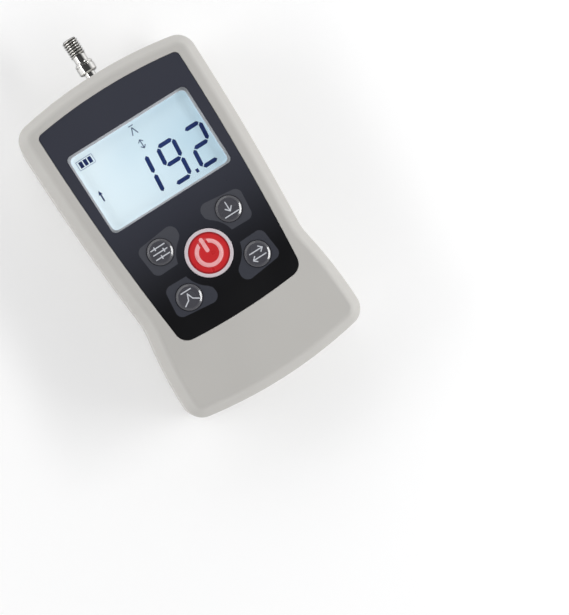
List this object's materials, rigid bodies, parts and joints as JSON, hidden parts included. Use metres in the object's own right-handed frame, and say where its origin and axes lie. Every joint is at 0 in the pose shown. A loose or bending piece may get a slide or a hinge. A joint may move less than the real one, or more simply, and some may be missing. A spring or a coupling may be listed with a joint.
{
  "type": "digital force gauge",
  "caption": "Pocket digital force gauge with a threaded sensing shaft, display window, membrane-style keys and rear stand bushes.",
  "frame": {"origin": "centre of the four stand bushes, on the back face", "axes": "+Y along the sensing shaft towards its threaded end, +Z out of the display face, +X to the right of someone reading the display"},
  "size_m": [0.0746, 0.1473, 0.0355],
  "materials": {
    "housing": "fine satin texture",
    "panel": "satin printed sheet",
    "lens": "clear and polished",
    "display_frame": "satin",
    "lcd": "smooth",
    "backlight": "diffusing",
    "contact_rubber": "matte",
    "function_key": "satin",
    "power_key": "satin",
    "switch_stem": "satin",
    "switch_plastic": "satin",
    "board": "solder mask",
    "chip_plastic": "matte",
    "screw_steel": "zinc plated",
    "bush_steel": "turned",
    "shaft_steel": "turned and polished",
    "clamp_steel": "rolled",
    "cell_can": "smooth",
    "load_cell": "milled",
    "aluminium": "milled",
    "foil": "amber film",
    "sleeve": "shrunk film",
    "card": "fibre card",
    "lead_red": "soft",
    "lead_grey": "soft",
    "plug_plastic": "natural nylon",
    "socket_plastic": "satin",
    "brass": "turned"
  },
  "bodies": {
    "housing": {"front_cover": "housing", "rear_cover": "housing", "case_screws": "screw_steel", "face_panel": "panel", "display_lens": "lens", "display_frame": "display_frame", "lcd_glass": "lcd", "lcd_backlight": "backlight", "contact_strips": "contact_rubber", "key_switches": "switch_plastic", "main_board": "board", "board_chips": "chip_plastic", "buzzer": "chip_plastic", "board_screws": "screw_steel", "load_cell": "load_cell", "strain_gauges": "foil", "load_cell_spacer": "aluminium", "load_cell_screws": "screw_steel", "chassis_plate": "aluminium", "stand_bushes": "bush_steel", "plate_screws": "screw_steel", "battery_cells": "cell_can", "battery_wrap": "sleeve", "battery_end_card": "card", "battery_clamp": "clamp_steel", "clamp_screws": "screw_steel", "battery_lead": "lead_red", "battery_plug": "plug_plastic", "gauge_lead": "lead_grey", "gauge_plug": "plug_plastic", "charge_socket": "socket_plastic", "charge_socket_pin": "brass"},
    "sensing_shaft": {"sensing_shaft": "shaft_steel", "shaft_lock_nut": "shaft_steel"},
    "set_key": {"set_key": "function_key", "set_switch_stem": "switch_stem"},
    "zero_key": {"zero_key": "function_key", "zero_switch_stem": "switch_stem"},
    "peak_key": {"peak_key": "function_key", "peak_switch_stem": "switch_stem"},
    "unit_key": {"unit_key": "function_key", "unit_switch_stem": "switch_stem"},
    "power_key": {"power_key": "power_key", "power_switch_stem": "switch_stem"}
  },
  "joints": [
    {"name": "sense_slide", "type": "slide", "parent": "housing", "child": "sensing_shaft", "axis": [0, 1, 0], "range_m": [-0.0003, 0.0003], "stiffness_N_per_m": 8000, "deforming": ["load_cell"]},
    {"name": "set_key_press", "type": "slide", "parent": "housing", "child": "set_key", "axis": [0, 0, -1], "range_m": [0, 0.00035], "stiffness_N_per_m": 400, "springref_m": -0.0005},
    {"name": "zero_key_press", "type": "slide", "parent": "housing", "child": "zero_key", "axis": [0, 0, -1], "range_m": [0, 0.00035], "stiffness_N_per_m": 400, "springref_m": -0.0005},
    {"name": "peak_key_press", "type": "slide", "parent": "housing", "child": "peak_key", "axis": [0, 0, -1], "range_m": [0, 0.00035], "stiffness_N_per_m": 400, "springref_m": -0.0005},
    {"name": "unit_key_press", "type": "slide", "parent": "housing", "child": "unit_key", "axis": [0, 0, -1], "range_m": [0, 0.00035], "stiffness_N_per_m": 400, "springref_m": -0.0005},
    {"name": "power_key_press", "type": "slide", "parent": "housing", "child": "power_key", "axis": [0, 0, -1], "range_m": [0, 0.00035], "stiffness_N_per_m": 400, "springref_m": -0.0005}
  ]
}
